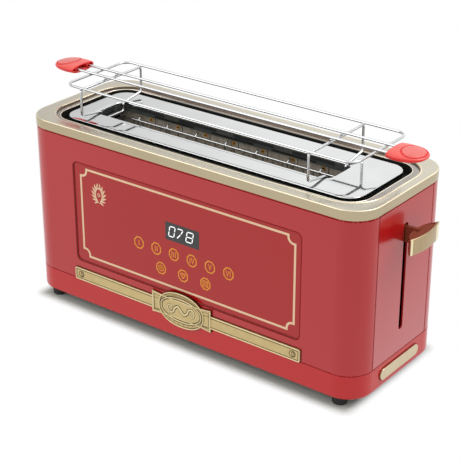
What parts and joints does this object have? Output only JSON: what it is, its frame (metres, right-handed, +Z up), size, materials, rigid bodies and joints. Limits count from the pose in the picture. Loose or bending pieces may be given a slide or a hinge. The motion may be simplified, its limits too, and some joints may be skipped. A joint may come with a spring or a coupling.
{
  "type": "long-slot toaster",
  "caption": "Long-slot toaster with a painted shell, glass touch panel, side lever with sprung bread carriage, closing bread guides, slide-out crumb tray and lift-off wire bun rack.",
  "frame": {"origin": "on the table, under the middle of the bounding box", "axes": "+X towards the lever end, +Y to the back (the touch panel faces -Y), +Z up"},
  "size_m": [0.432, 0.148, 0.2299],
  "materials": {
    "shell_red": "satin",
    "skirt_red": "satin",
    "panel_glass": "back-painted gloss",
    "champagne": "brushed",
    "chrome": "polished",
    "antique_brass": "satin",
    "coral_grip": "satin",
    "channel_black": "matte",
    "inner_black": "matte",
    "display_black": "gloss",
    "foot_rubber": "matte",
    "sheet_steel": "plain sheet",
    "ribbon_metal": "flat ribbon",
    "mica": "mica sheet",
    "coil_copper": "enamelled wire",
    "board_green": "circuit board",
    "terminal_cream": "moulded"
  },
  "bodies": {
    "body": {"front_shell": "shell_red", "rear_shell": "shell_red", "left_end_panel": "shell_red", "right_end_panel": "shell_red", "base_skirt": "skirt_red", "touch_panel": "panel_glass", "top_trim": "champagne", "step_ring": "champagne", "top_plate": "chrome", "badge_bar": "antique_brass", "badge_plaque": "antique_brass", "heater_eyelets": "antique_brass", "channel_liner": "channel_black", "panel_carrier": "inner_black", "touch_pads": "inner_black", "carriage_switch": "inner_black", "transformer": "inner_black", "relay": "inner_black", "signal_cable": "inner_black", "cord_gland": "inner_black", "display_module": "display_black", "foot_front_left": "foot_rubber", "foot_front_right": "foot_rubber", "foot_rear_left": "foot_rubber", "foot_rear_right": "foot_rubber", "base_plate": "sheet_steel", "base_screws": "sheet_steel", "left_end_frame": "sheet_steel", "right_end_frame": "sheet_steel", "front_heat_shield": "sheet_steel", "rear_heat_shield": "sheet_steel", "guide_rods": "sheet_steel", "magnet_core": "sheet_steel", "return_spring": "sheet_steel", "tray_runners": "sheet_steel", "front_ribbon": "ribbon_metal", "rear_ribbon": "ribbon_metal", "front_heater": "mica", "rear_heater": "mica", "magnet_coil": "coil_copper", "control_board": "board_green", "power_board": "board_green", "terminal_block": "terminal_cream"},
    "carriage": {"slider_block": "inner_black", "keeper_plate": "sheet_steel", "bread_rail": "sheet_steel", "lever_stem": "champagne", "lever_knob": "champagne", "lever_face": "champagne"},
    "front_guide": {"front_guide": "chrome"},
    "rear_guide": {"rear_guide": "chrome"},
    "tray": {"crumb_tray": "sheet_steel", "tray_face": "champagne"},
    "rack": {"rack_frame": "chrome", "rack_rods": "chrome", "rack_stirrup_left": "chrome", "rack_stirrup_right": "chrome", "rack_grip_left": "coral_grip", "rack_grip_right": "coral_grip"}
  },
  "joints": [
    {"name": "lever_slide", "type": "slide", "parent": "body", "child": "carriage", "axis": [0, 0, -1], "range_m": [0, 0.085], "stiffness_N_per_m": 80, "springref_m": -0.06, "deforming": ["return_spring"]},
    {"name": "front_guide_slide", "type": "slide", "parent": "body", "child": "front_guide", "axis": [0, 1, 0], "range_m": [0, 0.008]},
    {"name": "rear_guide_slide", "type": "slide", "parent": "body", "child": "rear_guide", "axis": [0, -1, 0], "range_m": [0, 0.008]},
    {"name": "tray_slide", "type": "slide", "parent": "body", "child": "tray", "axis": [1, 0, 0], "range_m": [0, 0.3]},
    {"name": "rack_lift", "type": "slide", "parent": "body", "child": "rack", "axis": [0, 0, 1], "range_m": [0, 0.06]}
  ],
  "couplings": [
    {"joint": "front_guide_slide", "follows": "lever_slide", "ratio": 0.094},
    {"joint": "rear_guide_slide", "follows": "lever_slide", "ratio": 0.094}
  ]
}
